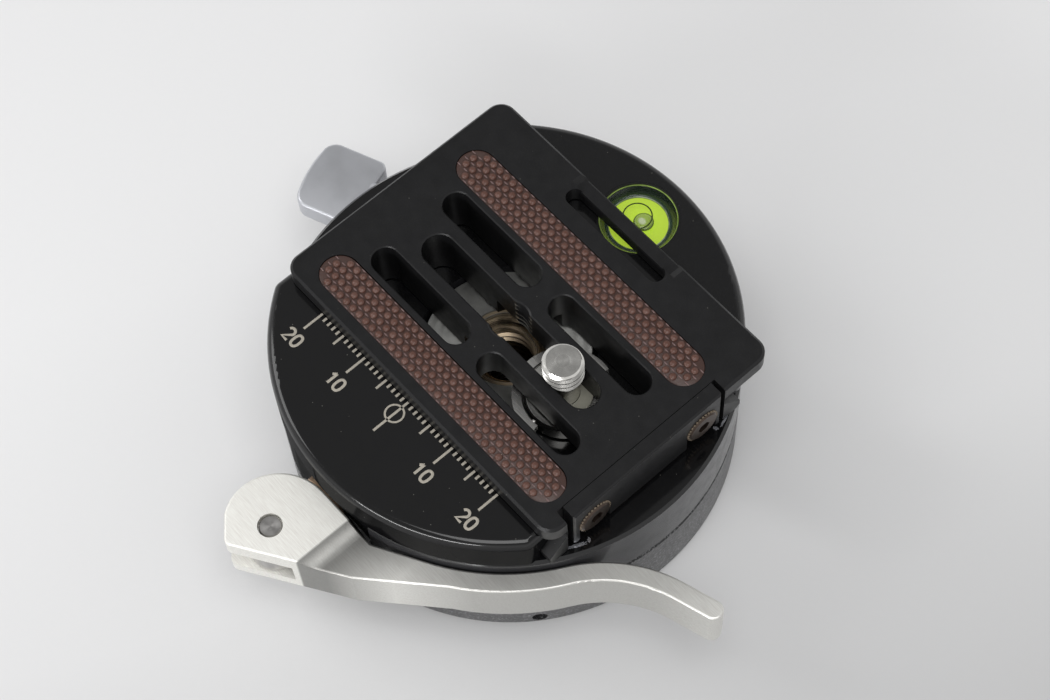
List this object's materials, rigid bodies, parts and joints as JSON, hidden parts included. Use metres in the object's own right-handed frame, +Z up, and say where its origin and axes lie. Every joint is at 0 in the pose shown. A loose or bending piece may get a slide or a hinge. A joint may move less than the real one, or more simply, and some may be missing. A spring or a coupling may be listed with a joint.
{
  "type": "panning clamp",
  "caption": "Low round panning clamp: a lever-worked dovetail channel on a turning disc with lock knob and bubble level, holding a slotted camera plate with grip strips.",
  "frame": {"origin": "on the pan axis, at the underside of the fixed base, in the mouth of the tripod thread", "axes": "+Z up along the pan axis and the camera screw; +X along the dovetail channel, towards the end of the plate with the stop bar; +Y towards the fixed jaw with the bubble level, so the lever is on the -Y side"},
  "size_m": [0.1025, 0.0879, 0.0388],
  "materials": {
    "base_black": "satin black anodised, lightly speckled",
    "gloss_black": "glossy black anodised",
    "plate_black": "satin black anodised",
    "hub_silver": "turned, clear anodised",
    "disc_silver": "fine turned stainless steel",
    "steel_dark": "plain steel",
    "thread_brass": "turned brass",
    "slide_plastic": "white bearing plastic",
    "lever_steel": "brushed stainless steel",
    "pin_steel": "ground steel",
    "pad_bronze": "sintered bronze",
    "knob_silver": "fine blasted, clear anodised",
    "strip_rubber": "matt, moulded with dots",
    "bezel_black": "black anodised",
    "vial_clear": "clear moulded acrylic",
    "fluid_green": "clear yellow-green liquid",
    "screw_steel": "turned stainless steel",
    "bar_screw_steel": "worn black oxide over steel"
  },
  "bodies": {
    "base": {"base_disc": "base_black", "base_grub": "steel_dark", "hub": "hub_silver", "clamp_plate": "steel_dark", "clamp_plate_screws": "steel_dark", "thread_bush": "thread_brass", "slide_ring": "slide_plastic", "retaining_disc": "disc_silver", "disc_screws": "steel_dark", "thrust_washer": "slide_plastic"},
    "turning_body": {"pan_body": "gloss_black", "level_bezel": "bezel_black", "level_vial": "vial_clear", "level_fluid": "fluid_green", "draw_bolt": "pin_steel", "bolt_grub": "steel_dark", "guide_pins": "steel_dark", "jaw_springs": "steel_dark", "lock_bush": "thread_brass"},
    "jaw": {"moving_jaw": "gloss_black", "cam_pad": "pad_bronze"},
    "clamp_lever": {"lever": "lever_steel", "lever_pin": "pin_steel"},
    "lock_handle": {"lock_knob": "knob_silver", "lock_stud": "steel_dark"},
    "shoe": {"lock_shoe": "pad_bronze"},
    "plate": {"camera_plate": "plate_black", "grip_strips": "strip_rubber", "bar_screws": "bar_screw_steel"},
    "bar": {"stop_bar": "plate_black"},
    "screw_carrier": {"neck_washer": "slide_plastic"},
    "mount_screw": {"camera_screw": "screw_steel"},
    "ring": {"screw_ring": "screw_steel"}
  },
  "joints": [
    {"name": "pan", "type": "hinge", "parent": "base", "child": "turning_body", "pos_m": [0, 0, 0.018], "axis": [0, 0, 1], "continuous": true},
    {"name": "lever_swing", "type": "hinge", "parent": "turning_body", "child": "clamp_lever", "pos_m": [-0.0018, -0.0453, 0.01805], "axis": [0, 0, 1], "range_deg": [-130, 0]},
    {"name": "jaw_slide", "type": "slide", "parent": "turning_body", "child": "jaw", "axis": [0, -1, 0], "range_m": [0, 0.00221], "deforming": ["jaw_springs"]},
    {"name": "lock_turn", "type": "hinge", "parent": "turning_body", "child": "lock_handle", "pos_m": [-0.0426, 0.00134, 0.0171], "axis": [0.9272, 0.3746, 0], "range_deg": [0, 135]},
    {"name": "shoe_slide", "type": "slide", "parent": "turning_body", "child": "shoe", "axis": [-0.9272, -0.3746, 0], "range_m": [0, 0.00031]},
    {"name": "plate_slide", "type": "slide", "parent": "turning_body", "child": "plate", "axis": [1, 0, 0], "range_m": [-0.02, 0.02]},
    {"name": "bar_raise", "type": "slide", "parent": "plate", "child": "bar", "axis": [0, 0, 1], "range_m": [0, 0.0035]},
    {"name": "screw_shift", "type": "slide", "parent": "plate", "child": "screw_carrier", "axis": [1, 0, 0], "range_m": [-0.01, 0.0036]},
    {"name": "screw_turn", "type": "hinge", "parent": "screw_carrier", "child": "mount_screw", "pos_m": [0.0131, 0, 0.03], "axis": [0, 0, 1], "continuous": true},
    {"name": "ring_fold", "type": "hinge", "parent": "mount_screw", "child": "ring", "pos_m": [0.0131, 0, 0.0267], "axis": [0, -1, 0], "range_deg": [0, 9]}
  ],
  "couplings": [
    {"joint": "jaw_slide", "follows": "lever_swing", "m_per_rad": -0.00096962},
    {"joint": "shoe_slide", "follows": "lock_turn", "m_per_rad": 0.00012732}
  ]
}
